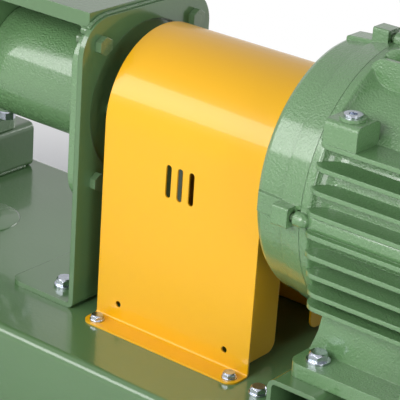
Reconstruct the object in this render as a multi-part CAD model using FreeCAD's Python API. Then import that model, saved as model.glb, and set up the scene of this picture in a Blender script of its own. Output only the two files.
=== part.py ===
import FreeCAD, Part
import math
import os
from FreeCAD import Vector

os.makedirs("parts", exist_ok=True)

# Driving dimensions in millimetres.
# X runs along the shaft from the suction flange to the fan, Y across, Z up.
# Stations along X are counted from the pump end of the coupling guard, heights from the floor.
# Every piece is moved to the frame's origin, the middle of the anchor holes, when it is written.

base_height = 100
base_half_width = 190
base_sheet = 6
base_bend = 10
base_x0 = -450
base_x1 = 610
base_flange = 46
shaft_height = 220
shaft_z = base_height + shaft_height

rail_height = 60
rail_half_length = 165
rail_wall = 5

guard_length = 206
guard_radius = 90
guard_sheet = 2
guard_foot = 116
shaft_gap = 32

wall_front = -23
wall_sheet = 6.5
flange_sheet = 8
wall_half_width = 104
wall_top = base_height + 325
wall_corner = 40
cover_hole = 88
flange_bolt = 76
foot_sheet = 6
foot_back = -118
frame_top = base_height + 331
frame_plate = 16
frame_half_width = 88.5
frame_back = -206
saddle_sheet = 8
root_fillet = 8

barrel_radius = 65
bearing_radius = 40
housing_back = -314
case_flange = 132

discharge_x = -380
suction_face = -480
discharge_face = shaft_z + 200
casing_foot_z = base_height + rail_height
casing_foot_y = 106

pump_shaft_end = 82
motor_shaft_end = 95
coupling_radius = 56

joint_x = 287
joint_radius = 142
frame_end = 545
collar = 9
collar_fall = 7
fin_depth = 15
fin_height = 23
fin_pitch = 21.4
fin_sheet = 4.6
low_fin = 90
frame_wall = 7
spigot_step = 16.4
foot_hole_y = 127
foot_hole_x = (joint_x + 26, frame_end - 22)
cowl_step = 6
cowl_sheet = 2.5
cowl_length = 155
box_offset = 26
box_mid = (joint_x + frame_end) / 2 - box_offset
box_half_x = 58
box_half_y = 56
eye_gap = 38
eye_x = box_mid + box_half_x + eye_gap

seat = 0.3


# Solids and placement

def box(x0, x1, y0, y1, z0, z1):
    return Part.makeBox(x1 - x0, y1 - y0, z1 - z0, Vector(x0, y0, z0))


def drum(x0, x1, radius, y=0, z=shaft_z):
    return Part.makeCylinder(radius, x1 - x0, Vector(x0, y, z), Vector(1, 0, 0))


def ring(x0, x1, outer, inner, y=0, z=shaft_z):
    return drum(x0, x1, outer, y, z).cut(drum(x0 - 1, x1 + 1, inner, y, z))


def post(x, y, z0, z1, radius):
    return Part.makeCylinder(radius, z1 - z0, Vector(x, y, z0))


def bar(x, z, y0, y1, radius):
    return Part.makeCylinder(radius, y1 - y0, Vector(x, y0, z), Vector(0, 1, 0))


def spun(face):
    return face.revolve(Vector(0, 0, shaft_z), Vector(1, 0, 0), 360)


def turned(stations):
    """Solid of revolution about the shaft line from (x, radius) stations."""
    points = [Vector(x, 0, shaft_z + r) for x, r in stations]
    return spun(Part.Face(Part.makePolygon(points + points[:1])))


def outline(corners):
    """Closed wire through (point, radius) corners, each corner rounded."""
    entries, exits, middles = [], [], []
    for i, (point, radius) in enumerate(corners):
        back = (corners[i - 1][0] - point).normalize()
        ahead = (corners[(i + 1) % len(corners)][0] - point).normalize()
        if radius == 0:
            entries.append(point)
            exits.append(point)
            middles.append(None)
            continue
        half = back.getAngle(ahead) / 2
        reach = radius / math.tan(half)
        inward = (back + ahead).normalize()
        entries.append(point + back * reach)
        exits.append(point + ahead * reach)
        middles.append(point + inward * (radius / math.sin(half) - radius))
    edges = []
    for i in range(len(corners)):
        if (entries[i] - exits[i - 1]).Length > 0.001:
            edges.append(Part.makeLine(exits[i - 1], entries[i]))
        if middles[i] is not None:
            edges.append(Part.Arc(entries[i], middles[i], exits[i]).toShape())
    return Part.Wire(edges)


def turned_smooth(stations):
    """Solid of revolution from (x, radius, corner) stations, each corner rounded."""
    return spun(Part.Face(outline([(Vector(x, 0, shaft_z + r), c) for x, r, c in stations])))


def across(corners, x0, x1):
    """Plate standing across the shaft: (y, z, radius) corners, x0 to x1."""
    wire = outline([(Vector(x0, y, z), r) for y, z, r in corners])
    return Part.Face(wire).extrude(Vector(x1 - x0, 0, 0))


def along(corners, y0, y1):
    """Plate standing along the shaft: (x, z, radius) corners, y0 to y1."""
    wire = outline([(Vector(x, y0, z), r) for x, z, r in corners])
    return Part.Face(wire).extrude(Vector(0, y1 - y0, 0))


def flat(corners, z0, z1):
    """Plate lying level: (x, y, radius) corners, z0 to z1."""
    wire = outline([(Vector(x, y, z0), r) for x, y, r in corners])
    return Part.Face(wire).extrude(Vector(0, 0, z1 - z0))


def fused(shapes):
    body = shapes[0]
    if len(shapes) > 1:
        body = body.fuse(shapes[1:])
    return body.removeSplitter()


def turn(shape, angle):
    """Copy turned about the shaft line; 0 is the far side, 90 is up."""
    copy = shape.copy()
    copy.rotate(Vector(0, 0, shaft_z), Vector(1, 0, 0), angle)
    return copy


def polar(shape, angles):
    return [turn(shape, angle) for angle in angles]


def mirrored(shape):
    """The same piece on the other side of the shaft plane."""
    return shape.mirror(Vector(0, 0, 0), Vector(0, 1, 0))


def placed(shape, position, direction):
    """Copy of a piece built on +Z, set at a position along a direction."""
    copy = shape.copy()
    turn_to = FreeCAD.Rotation(Vector(0, 0, 1), direction)
    copy.Placement = FreeCAD.Placement(position, turn_to)
    return copy


def export(name, *solids):
    shape = solids[0] if len(solids) == 1 else Part.makeCompound(list(solids))
    shape = shape.copy()
    shape.translate(Vector(-(base_x0 + base_x1) / 2, 0, 0))
    shape.exportStep("parts/" + name + ".step")


# Fasteners, built on +Z with the seat of the head at Z = 0

def hexagon(flats, z0, z1):
    corner = flats / math.sqrt(3)
    angles = [math.radians(60 * i) for i in range(7)]
    points = [Vector(corner * math.cos(a), corner * math.sin(a), z0) for a in angles]
    prism = Part.Face(Part.makePolygon(points)).extrude(Vector(0, 0, z1 - z0))
    return prism


def hex_bolt(size, length, washer):
    """Bolt head on a washer with its shank below."""
    flats = {8: 13, 10: 16, 12: 18, 14: 21}[size]
    head = hexagon(flats, washer, washer + 0.65 * size)
    crown = Part.makeCone(flats * 0.57, flats * 0.38, 0.2 * flats, Vector(0, 0, 0))
    crown.translate(Vector(0, 0, washer + 0.65 * size - 0.14 * flats))
    head = head.common(crown.fuse(Part.makeCylinder(flats, 0.65 * size)))
    shank = Part.makeCylinder(size / 2, length + washer, Vector(0, 0, -length))
    return fused([head, shank])


def washer_ring(size, thickness):
    disc = Part.makeCylinder(size, thickness)
    return disc.cut(Part.makeCylinder(size / 2 + 0.25, 3 * thickness, Vector(0, 0, -1)))


def nut(size):
    flats = {8: 13, 10: 16, 12: 18, 14: 21}[size]
    block = hexagon(flats, 0, 0.8 * size)
    return block.cut(Part.makeCylinder(size / 2 + 0.05, 2 * size, Vector(0, 0, -1)))


def cap_screw(size, length):
    """Socket head screw: round head with a hexagon socket."""
    head = Part.makeCylinder(0.75 * size, size)
    head = head.cut(hexagon(0.8 * size, 0.5 * size, 2 * size))
    return fused([head, Part.makeCylinder(size / 2, length, Vector(0, 0, -length))])


def dome_screw(size, length):
    """Low round-headed screw with a straight slot."""
    head = Part.makeCone(size, 0.7 * size, 0.6 * size)
    head = head.cut(Part.makeBox(3 * size, 0.25 * size, size, Vector(-1.5 * size, -0.125 * size, 0.3 * size)))
    return fused([head, Part.makeCylinder(size / 2, length, Vector(0, 0, -length))])


up = Vector(0, 0, 1)
down = Vector(0, 0, -1)
ahead = Vector(1, 0, 0)
astern = Vector(-1, 0, 0)

# Baseplate
# One folded sheet: deck, two skirts and two floor flanges with the anchor holes.

y1 = base_half_width
y2 = y1 + base_flange
skirt = y1 - base_sheet
inner_bend = base_bend - base_sheet
anchor_y = 214
anchor_x = (-400, 80, 560)
section = [
    (-y2, 0, 0), (-y2, base_sheet, 0), (-y1, base_sheet, inner_bend),
    (-y1, base_height, base_bend), (y1, base_height, base_bend),
    (y1, base_sheet, inner_bend), (y2, base_sheet, 0), (y2, 0, 0),
    (skirt, 0, base_bend), (skirt, base_height - base_sheet, inner_bend),
    (-skirt, base_height - base_sheet, inner_bend), (-skirt, 0, base_bend),
]
baseplate = across(section, base_x0, base_x1)
guard_bolt_x = (14, guard_length - 12)
guard_bolt_y = 105
pedestal_bolt = (-62, 74)
earth_bolt = (233, -107)
grout_holes = (-270, 420)
drills = [post(x, y, -1, 20, 9) for x in anchor_x for y in (-anchor_y, anchor_y)]
for side in (-1, 1):
    drills += [post(x, side * guard_bolt_y, 80, 120, 4.5) for x in guard_bolt_x]
    drills.append(post(pedestal_bolt[0], side * pedestal_bolt[1], 80, 120, 6.75))
drills.append(post(*earth_bolt, 80, 120, 5.5))
drills += [post(x, 0, 80, 120, 45) for x in grout_holes]
baseplate = baseplate.cut(drills)
export("baseplate", baseplate)

# Cross members under the deck: two closed ends and three ribs with a lightening window.
rib_x = (-448, -215, 20, 310, 602)
ribs = []
for x in rib_x:
    rib = across([
        (-skirt, 8, 12), (-skirt, base_height - base_sheet, 8),
        (skirt, base_height - base_sheet, 8), (skirt, 8, 12),
    ], x, x + base_sheet)
    if x not in (rib_x[0], rib_x[-1]):
        rib = rib.cut([drum(x - 1, x + base_sheet + 1, 22, y, 50) for y in (-100, 0, 100)])
    ribs.append(rib)
export("base_cross_members", *ribs)

# Raising tubes
# Square tubes laid across the deck lift the motor feet and the pump casing.

def rail(x, width):
    x0, x1 = x - width / 2, x + width / 2
    z0, z1 = base_height, base_height + rail_height
    w = rail_wall
    outside = along([(x0, z0, 9), (x0, z1, 9), (x1, z1, 9), (x1, z0, 9)],
                    -rail_half_length, rail_half_length)
    inside = along([(x0 + w, z0 + w, 4), (x0 + w, z1 - w, 4), (x1 - w, z1 - w, 4), (x1 - w, z0 + w, 4)],
                   -rail_half_length - 1, rail_half_length + 1)
    return outside.cut(inside)


rail_top = base_height + rail_height
motor_rails = []
for x in foot_hole_x:
    tube = rail(x, 60)
    motor_rails.append(tube.cut([post(x, s * foot_hole_y, rail_top - 10, rail_top + 1, 6.75)
                                 for s in (-1, 1)]))

casing_bolt_x = (discharge_x - 22, discharge_x + 22)
casing_hole_y = casing_foot_y + 18
casing_rail = rail(discharge_x, 80).cut(
    [post(x, s * casing_hole_y, rail_top - 10, rail_top + 1, 6.75)
     for x in casing_bolt_x for s in (-1, 1)])
export("raising_tubes", casing_rail, *motor_rails)

# Bearing pedestal
# A folded front wall with its foot, and a thick top plate that ends in a saddle on the barrel.

wall_back = wall_front - wall_sheet
flange_back = wall_back - flange_sheet
plate_under = frame_top - frame_plate
front_wall = across([
    (-wall_half_width, base_height, 0), (-wall_half_width, wall_top, wall_corner),
    (wall_half_width, wall_top, wall_corner), (wall_half_width, base_height, 0),
], wall_back, wall_front)
front_foot = flat([
    (wall_back, -wall_half_width, 0), (wall_back, wall_half_width, 0),
    (foot_back, wall_half_width, 14), (foot_back, -wall_half_width, 14),
], base_height, base_height + foot_sheet)
bend = 9
bend_cut = along([
    (wall_front - bend, base_height, 0), (wall_front + 1, base_height, 0),
    (wall_front + 1, base_height + bend, 0), (wall_front, base_height + bend, 0),
    (wall_front, base_height, bend),
], -wall_half_width - 1, wall_half_width + 1)
inner_root = bend - foot_sheet
bend_root = box(wall_back - inner_root, wall_back, -wall_half_width, wall_half_width,
                base_height + foot_sheet, base_height + bend)
bend_root = bend_root.cut(bar(wall_back - inner_root, base_height + bend,
                              -wall_half_width, wall_half_width, inner_root))
folded_wall = fused([front_wall.cut(bend_cut), front_foot, bend_root])
folded_wall = folded_wall.cut(drum(wall_back - 1, wall_front + 1, cover_hole))
folded_wall = folded_wall.cut([drum(wall_back - 1, wall_front + 1, 6.75, y, shaft_z + z)
                               for y in (-flange_bolt, flange_bolt) for z in (-flange_bolt, flange_bolt)])
folded_wall = folded_wall.cut([post(pedestal_bolt[0], s * pedestal_bolt[1], base_height - 10,
                                    base_height + 20, 6.75) for s in (-1, 1)])
export("pedestal_front", folded_wall)

saddle_z = shaft_z - 4
saddle_front = frame_back + saddle_sheet
top_plate = along([
    (frame_back, frame_top, 8), (wall_back, frame_top, 0), (wall_back, plate_under, 0),
    (flange_back, plate_under, 0), (flange_back, plate_under - root_fillet, 0),
    (flange_back - 1, plate_under - root_fillet, 0), (flange_back - 1, plate_under, root_fillet - 2),
    (saddle_front, plate_under, 6), (saddle_front, saddle_z, 0), (frame_back, saddle_z, 0),
], -frame_half_width, frame_half_width)
export("pedestal_frame", top_plate.cut(drum(frame_back - 1, saddle_front + 1, barrel_radius + seat)))

# Bearing housing
# Barrel with a squared flange at the coupling end and a lantern at the pump end.

square = wall_half_width
flange_top = plate_under - seat
flange_plate = across([
    (-square, shaft_z - square, wall_corner), (-square, flange_top, wall_corner),
    (square, flange_top, wall_corner), (square, shaft_z - square, wall_corner),
], flange_back, wall_back)
barrel = turned([
    (flange_back - 12, barrel_radius), (flange_back, barrel_radius + 8), (wall_back, barrel_radius + 8),
    (wall_back, bearing_radius), (-56, bearing_radius), (-56, 34), (-218, 34),
    (-218, bearing_radius), (-242, bearing_radius), (-242, 24), (-252, 24), (-252, 46),
    (-288, 92), (housing_back, 92), (housing_back, case_flange), (-300, case_flange), (-300, 108),
    (-252, barrel_radius),
])
window = along([(-294, shaft_z - 48, 14), (-294, shaft_z + 48, 14),
                (-262, shaft_z + 30, 12), (-262, shaft_z - 30, 12)], -150, 150)
plug_x = -228
glass_z = shaft_z - 12
plug_seat = barrel_radius + 4
bosses = [post(plug_x, 0, shaft_z - plug_seat, shaft_z + plug_seat, 14),
          bar(plug_x, glass_z, -plug_seat, 0, 19)]
bosses = [boss.cut(drum(-260, -200, 50)) for boss in bosses]
housing = fused([flange_plate, barrel] + bosses)
housing = housing.cut(window)
housing = housing.cut([drum(flange_back - 1, wall_back + 1, 6.75, y, shaft_z + z)
                       for y in (-flange_bolt, flange_bolt) for z in (-flange_bolt, flange_bolt)])
stud_angles = [22.5 + 45 * i for i in range(8)]
stud_circle = 121
stud_hole = drum(housing_back - 1, -299, 5.5, stud_circle)
housing = housing.cut(polar(stud_hole, stud_angles))
cover_screw_circle = 54
cover_screw = drum(wall_back - 14, wall_back + 1, 4.05, cover_screw_circle)
cover_screw_angles = [60 * i for i in range(6)]
housing = housing.cut(drum(flange_back - 1, wall_back + 1, bearing_radius))
housing = housing.cut(polar(cover_screw, cover_screw_angles))
housing = housing.cut(post(plug_x, 0, shaft_z + 30, shaft_z + 80, 8))
housing = housing.cut(post(plug_x, 0, shaft_z - 80, shaft_z - 30, 8))
housing = housing.cut(bar(plug_x, glass_z, -80, -30, 13))
export("bearing_housing", housing)

# Round cover sunk into the front wall, with its lip seal bore and screws.
cover_face = wall_back + 3
cover_nose = -35 + seat
cover = turned([
    (cover_nose, bearing_radius - 0.1), (wall_back, bearing_radius - 0.1), (wall_back, 86.5),
    (cover_face, 86.5), (cover_face, 46), (cover_face + 6, 42), (cover_face + 10, 42),
    (cover_face + 10, 26), (cover_face + 1, 26), (cover_face + 1, 21), (wall_back - 4, 21),
    (wall_back - 4, 33), (cover_nose, 33),
])
cover_drill = drum(wall_back - 20, cover_face + 1, 4.5, cover_screw_circle)
export("bearing_cover", cover.cut(polar(cover_drill, cover_screw_angles)))

screw = placed(hex_bolt(8, 16, 0), Vector(cover_face, cover_screw_circle, shaft_z), ahead)
export("bearing_cover_screws", *polar(screw, cover_screw_angles))


# Pump shaft and bearings

pump_bearing_x = ((-56, -35), (-239.5, -218.5))
shaft = turned([
    (pump_shaft_end, 0), (pump_shaft_end, 14.5), (pump_shaft_end - 1.5, 16), (10, 16),
    (10, 17.5), (-56, 17.5), (-56, 21), (-218.5, 21), (-218.5, 17.5), (-262, 17.5), (-262, 15),
    (-366, 15), (-366, 12), (-397, 12), (-397, 9), (-418, 9), (-418, 0),
])
keyway = box(30, pump_shaft_end, -5, 5, shaft_z + 11, shaft_z + 20)
impeller_keyway = box(-392, -370, -4, 4, shaft_z + 8, shaft_z + 14)
export("pump_shaft", shaft.cut([keyway, impeller_keyway]))


def race(x0, x1, outer, inner, groove, ball):
    """Bearing ring with its ball groove."""
    middle = (x0 + x1) / 2
    torus = Part.makeTorus(groove, ball, Vector(middle, 0, shaft_z), Vector(1, 0, 0))
    return ring(x0, x1, outer, inner).cut(torus)


def ball_set(middle, pitch, ball, count):
    sphere = Part.makeSphere(ball, Vector(middle, pitch, shaft_z))
    return polar(sphere, [360 * i / count for i in range(count)])


pump_outer, pump_inner, pump_balls, pump_cages = [], [], [], []
for x0, x1 in pump_bearing_x:
    middle = (x0 + x1) / 2
    pump_outer.append(race(x0, x1, bearing_radius - 0.01, 33, 28.75, 6.6))
    pump_inner.append(race(x0, x1, 24.5, 17.5, 28.75, 6.6))
    pump_cages.append(ring(middle - 3, middle + 3, 30.5, 27).cut(ball_set(middle, 28.75, 6.5, 8)))
    pump_balls += ball_set(middle, 28.75, 6.3, 8)
export("pump_bearing_outer_rings", *pump_outer)
export("pump_bearing_inner_rings", *pump_inner)
export("pump_bearing_balls", *pump_balls, *pump_cages)


def lip_seal(x0, x1, outer, inner):
    return turned([
        (x0, outer), (x1, outer), (x1, inner + 2), (x1 - 1.5, inner + 2), (x1 - 3, inner + 0.1),
        (x1 - 4.5, inner + 0.1), (x1 - 3, outer - 1.5), (x0, outer - 1.5),
    ])


front_seal = lip_seal(cover_face + 1, cover_face + 9, 26 - 0.01, 17.5)
back_seal = lip_seal(-252, -243.5, 24 - 0.01, 17.5)
export("lip_seals", front_seal, back_seal)

filler = fused([placed(hexagon(17, 0, 9), Vector(plug_x, 0, shaft_z + plug_seat + 3), up),
                post(plug_x, 0, shaft_z + plug_seat, shaft_z + plug_seat + 3, 12),
                post(plug_x, 0, shaft_z + 48, shaft_z + plug_seat, 7.95)])
drain = turn(filler, 180)
export("oil_plugs", filler, drain)

glass_rim = fused([bar(plug_x, glass_z, -plug_seat - 5, -plug_seat, 17),
                   bar(plug_x, glass_z, -plug_seat, -plug_seat + 12, 12.95)])
glass_rim = glass_rim.cut(bar(plug_x, glass_z, -plug_seat - 6, -40, 9.5))
export("sight_glass_rim", glass_rim)
export("sight_glass_disc", bar(plug_x, glass_z, -plug_seat - 2, -plug_seat + 2, 9.5))

# Casing cover with the tapered seal chamber, and the mechanical seal inside the lantern

casing_front = housing_back - 16
cover_spigot = 112
cover_boss = 104
casing_cover = turned([
    (housing_back, case_flange), (casing_front, case_flange), (casing_front, cover_spigot),
    (casing_front - 6, cover_spigot), (casing_front - 6, cover_boss), (-356, cover_boss), (-356, 36),
    (-298, 30), (-284, 30), (-284, 50), (-296, 50), (-310, 60), (-310, 91.7), (housing_back, 91.7),
])
cover_stud_hole = drum(casing_front - 1, housing_back + 1, 5.5, stud_circle)
casing_cover = casing_cover.cut(polar(cover_stud_hole, stud_angles))
gland_angles = (45, 135, 225, 315)
gland_circle = 40
casing_cover = casing_cover.cut(polar(drum(-289, -283, 3.05, gland_circle), gland_angles))
export("casing_cover", casing_cover)

gland = turned([(-284, 22), (-284, 48), (-276, 48), (-276, 22)])
export("seal_gland", gland.cut(polar(drum(-290, -275, 3.3, gland_circle), gland_angles)))
gland_screw = placed(cap_screw(6, 12), Vector(-276, gland_circle, shaft_z), ahead)
export("seal_gland_screws", *polar(gland_screw, gland_angles))
export("seal_seat", turned([(-284, 18.2), (-284, 29.7), (-294, 29.7), (-294, 18.2)]))
export("seal_rotor", turned([
    (-294.2, 16), (-294.2, 25), (-300, 25), (-300, 27), (-322, 27), (-322, 15.02),
    (-300, 15.02), (-300, 16),
]))

# Casing
# Spiral chamber and discharge neck lofted through circles that grow round the impeller.

tongue_bore = 9
outlet_bore = 27
discharge_bore = 32.5
casing_wall = 8
impeller_radius = 100
room_radius = 106
neck_top = 176


def passage_circle(y, z, radius, direction):
    return Part.Wire(Part.makeCircle(radius, Vector(discharge_x, y, shaft_z + z), direction))


def spiral_circles(extra, first, last):
    """Sections every 36 degrees from the tongue, extra wider than the passage."""
    circles = []
    for i in range(first, last + 1):
        angle = math.radians(36 * i - 324)
        bore = tongue_bore + (outlet_bore - tongue_bore) * i / 9
        reach = room_radius - 3 + 0.75 * bore
        y, z = reach * math.cos(angle), reach * math.sin(angle)
        circles.append(passage_circle(y, z, bore + extra, Vector(0, -z, y)))
    return circles


def neck_circles(extra):
    """Sections of the neck that swings from the spiral's end to the top centre."""
    start = room_radius - 3 + 0.75 * outlet_bore
    circles = []
    for i in range(6):
        t = i / 5
        y = start * (1 - 3 * t * t + 2 * t ** 3)
        lean = -start * 6 * t * (1 - t) / neck_top
        bore = outlet_bore + (discharge_bore - outlet_bore) * t
        circles.append(passage_circle(y, neck_top * t, bore + extra, Vector(0, lean, 1)))
    return circles


def water_way(extra):
    return [Part.makeLoft(spiral_circles(extra, 0, 5), True),
            Part.makeLoft(spiral_circles(extra, 5, 9), True),
            Part.makeLoft(neck_circles(extra), True)]


chamber = turned([
    (casing_front, case_flange), (casing_front - 18, case_flange), (casing_front - 18, 122),
    (discharge_x - 6, 118), (discharge_x - 18, 112), (discharge_x - 26, 88), (discharge_x - 33, 62),
    (-424, 57), (-440, 50), (-462, 50), (-462, 100), (suction_face + 3, 100), (suction_face + 3, 69),
    (suction_face, 69), (suction_face, 0), (casing_front, 0),
])
flange_z = discharge_face - 20
discharge_flange = post(discharge_x, 0, flange_z, discharge_face - 3, 92.5)
discharge_rise = post(discharge_x, 0, neck_top + shaft_z - 12, discharge_face, discharge_bore + casing_wall)
discharge_raised = post(discharge_x, 0, flange_z, discharge_face, 61)
casing_foot = flat([
    (discharge_x - 38, -casing_foot_y - 34, 12), (discharge_x + 38, -casing_foot_y - 34, 12),
    (discharge_x + 38, -casing_foot_y + 30, 0), (discharge_x - 38, -casing_foot_y + 30, 0),
], casing_foot_z, casing_foot_z + 15)
casing_web = along([
    (discharge_x - 34, casing_foot_z + 8, 0), (discharge_x - 16, casing_foot_z + 60, 40),
    (discharge_x - 16, shaft_z - 40, 0), (discharge_x + 16, shaft_z - 40, 0),
    (discharge_x + 16, casing_foot_z + 60, 40), (discharge_x + 34, casing_foot_z + 8, 0),
], -casing_foot_y, -casing_foot_y + 14)
casing_rib = across([
    (-casing_foot_y - 20, casing_foot_z + 12, 0), (-casing_foot_y - 12, casing_foot_z + 80, 0),
    (-60, casing_foot_z + 80, 0), (-90, casing_foot_z + 12, 0),
], discharge_x - 7, discharge_x + 7)
casing_feet = [casing_foot, casing_web, casing_rib]
casing_feet += [mirrored(piece) for piece in casing_feet]
casing = fused([chamber, *water_way(casing_wall), discharge_rise, discharge_raised, discharge_flange]
               + casing_feet)
wear_front = -409
wear_back = -424
impeller_room = turned([
    (casing_front + 1, 0), (casing_front + 1, cover_spigot + seat), (casing_front - 8, cover_spigot + seat),
    (casing_front - 8, room_radius), (discharge_x - 14, room_radius), (discharge_x - 19, 84),
    (discharge_x - 26, 60), (wear_front, 49.3), (wear_back, 49.3), (wear_back, 40),
    (suction_face - 1, 40), (suction_face - 1, 0),
])
casing = casing.cut([impeller_room, *water_way(0),
                     post(discharge_x, 0, neck_top + shaft_z - 1, discharge_face + 1, discharge_bore)])
suction_bolt = drum(suction_face - 1, -461, 9, 80)
casing = casing.cut(polar(suction_bolt, [22.5 + 45 * i for i in range(8)]))
flange_angles = [math.radians(45 + 90 * i) for i in range(4)]
discharge_circle = 72.5
casing = casing.cut([post(discharge_x + discharge_circle * math.cos(a), discharge_circle * math.sin(a),
                          flange_z - 1, discharge_face + 1, 9) for a in flange_angles])
casing = casing.cut(polar(drum(casing_front - 17, casing_front + 1, 5.05, stud_circle), stud_angles))
casing = casing.cut([post(x, s * casing_hole_y, casing_foot_z - 1, casing_foot_z + 16, 6.75)
                     for x in casing_bolt_x for s in (-1, 1)])
export("volute_casing", casing)
export("casing_gasket", ring(casing_front - 8, casing_front - 6, cover_spigot, room_radius + 0.3))
export("wear_ring", ring(wear_back, wear_front, 49.29, 45.3))
stud = placed(hex_bolt(10, 44, 0), Vector(-300, stud_circle, shaft_z), ahead)
export("casing_bolts", *polar(stud, stud_angles))

# Impeller
# Closed wheel: hub with back shroud, front shroud with the eye, six vanes swept back.

hub_and_back = turned([
    (-366, 12), (-366, 24), (-367.5, 34), (-368, impeller_radius), (-372.5, impeller_radius), (-373, 70),
    (-376, 42), (-383, 26), (-397, 19), (-397, 12),
])
front_shroud = turned([
    (-387.5, impeller_radius), (-390, 76), (-396, 55), (-405, 40), (-420, 38), (-420, 45), (-407, 45),
    (-401, 57), (-395, 78), (-392, impeller_radius),
])
vane_room = turned([
    (-371, impeller_radius), (-372, 70), (-375, 41), (-381, 30), (-404, 36), (-406, 41), (-397, 56),
    (-391, 77), (-389, impeller_radius),
])


def vane_side(shift):
    """Arc through three points of the vane, shifted round by half its thickness."""
    points = []
    for radius, angle in ((37, 0), (66, -50), (impeller_radius, -92)):
        a = math.radians(angle) + shift / radius
        points.append(Vector(-410, radius * math.cos(a), shaft_z + radius * math.sin(a)))
    return points


inner_side, outer_side = vane_side(-2), vane_side(2)
vane_wire = Part.Wire([
    Part.Arc(*inner_side).toShape(), Part.makeLine(inner_side[2], outer_side[2]),
    Part.Arc(*outer_side[::-1]).toShape(), Part.makeLine(outer_side[0], inner_side[0]),
])
vane = Part.Face(vane_wire).extrude(Vector(44, 0, 0)).common(vane_room)
impeller = fused([hub_and_back, front_shroud] + polar(vane, [60 * i for i in range(6)]))
impeller = impeller.cut(box(-398, -365, -4, 4, shaft_z, shaft_z + 15))
export("impeller", impeller)
impeller_nut = turned([
    (-397, 9.02), (-397, 16), (-409, 16), (-422, 8), (-422, 0), (-418.3, 0), (-418.3, 9.02),
])
nut_flats = placed(hexagon(27, 0, 12), Vector(-409, 0, shaft_z), ahead)
export("impeller_nut", impeller_nut.common(fused([nut_flats, drum(-422, -409, 16)])))
impeller_key = box(-391.5, -370.5, -3.98, 3.98, shaft_z + 8, shaft_z + 14.8)

# Coupling
# Two hubs with three jaws each and a six-legged elastic spider between them.

jaw_front = 104.5
jaw_back = 80.5


def sector(x0, x1, outer, inner, start, sweep):
    """Part of a ring, from an angle over a sweep in degrees."""
    points = [Vector(x, 0, shaft_z + r) for x, r in ((x0, inner), (x1, inner), (x1, outer), (x0, outer))]
    face = Part.Face(Part.makePolygon(points + points[:1]))
    return turn(face.revolve(Vector(0, 0, shaft_z), Vector(1, 0, 0), sweep), start)


def hub(face, far, bore, jaw_end, start):
    """Hub body with chamfered rim, three jaws and a bored keyway."""
    step = 3 if far > face else -3
    body = turned([(face, bore), (face, coupling_radius), (far - step, coupling_radius),
                   (far, coupling_radius - 3), (far, bore)])
    jaws = [sector(min(face, jaw_end), max(face, jaw_end), coupling_radius, 34, start + 120 * i, 42)
            for i in range(3)]
    return fused([body] + jaws)


pump_hub = hub(jaw_back, 26, 16, jaw_front - 2, 0)
pump_hub = pump_hub.cut([box(25, 81, -5, 5, shaft_z, shaft_z + 19.3),
                         post(40, 0, shaft_z + 19, shaft_z + 60, 4)])
motor_hub = hub(jaw_front, 160, 21, jaw_back + 2, 60)
motor_hub = motor_hub.cut([box(104, 161, -6, 6, shaft_z, shaft_z + 24.3),
                           post(146, 0, shaft_z + 24, shaft_z + 60, 4)])
export("pump_hub", pump_hub)
export("motor_hub", motor_hub)
legs = [sector(jaw_back + 0.5, jaw_front - 0.5, 55, 30, 42.5 + 60 * i, 17) for i in range(6)]
spider = fused([ring(jaw_back + 3, jaw_front - 3, 33.5, 26)] + legs)
export("coupling_spider", spider)
export("pump_shaft_keys", box(30.5, 79.5, -4.98, 4.98, shaft_z + 11, shaft_z + 19), impeller_key)
export("motor_hub_key", box(107, 157, -5.98, 5.98, shaft_z + 16, shaft_z + 24))

# Coupling guard
# One bent sheet: arch, upright sides and rounded foot flanges, with three view slots a side.

g, t, w, z0 = guard_radius, guard_sheet, guard_foot, base_height
arch_top = shaft_z + guard_radius
guard = across([
    (-w, z0, 0), (-w, z0 + t, 0), (-g, z0 + t, 3), (-g, arch_top, g), (g, arch_top, g), (g, z0 + t, 3),
    (w, z0 + t, 0), (w, z0, 0), (g - t, z0, 5), (g - t, arch_top - t, g - t),
    (t - g, arch_top - t, g - t), (t - g, z0, 5),
], 0, guard_length)
plan = flat([(0, -w, 12), (guard_length, -w, 12), (guard_length, w, 12), (0, w, 12)], z0 - 1, arch_top + 1)
guard = guard.common(plan)
slot_x, slot_z = 102.6, base_height + 181
cuts = [post(x, s * guard_bolt_y, z0 - 1, z0 + 5, 4.5) for x in guard_bolt_x for s in (-1, 1)]
cuts += [bar(x, z0 + 21, -g - 1, g + 1, 3.5) for x in (29.5, 174)]
for i in (-1, 0, 1):
    x = slot_x + 15 * i
    cuts.append(along([(x - 3.5, slot_z - 18, 3.45), (x - 3.5, slot_z + 18, 3.45),
                       (x + 3.5, slot_z + 18, 3.45), (x + 3.5, slot_z - 18, 3.45)], -g - 1, g + 1))
export("coupling_guard", guard.cut(cuts))

# End plates inside the arch, each slotted upward from the deck to pass over a shaft.
end_plates = []
rim = g - t
gap = shaft_gap
toe = 12
for x in (10, guard_length - 12):
    blank = across([(-rim, z0 + 8, toe), (-rim, arch_top - t, rim), (rim, arch_top - t, rim),
                    (rim, z0 + 8, toe)], x, x + t)
    slot = across([(-gap, z0, 0), (-gap, shaft_z + gap, gap), (gap, shaft_z + gap, gap), (gap, z0, 0)],
                  x - 1, x + t + 1)
    toe_cuts = [across([(s * gap, z0 + 8, 0), (s * (gap + toe), z0 + 8, 0), (s * gap, z0 + 8 + toe, 0)],
                       x - 1, x + t + 1).cut(drum(x - 2, x + t + 2, toe, s * (gap + toe), z0 + 8 + toe))
                for s in (-1, 1)]
    end_plates.append(blank.cut([slot] + toe_cuts))
export("guard_end_plates", *end_plates)

# Motor
# End shields, finned frame with feet, stator and rotor, fan and cowl.

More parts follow.
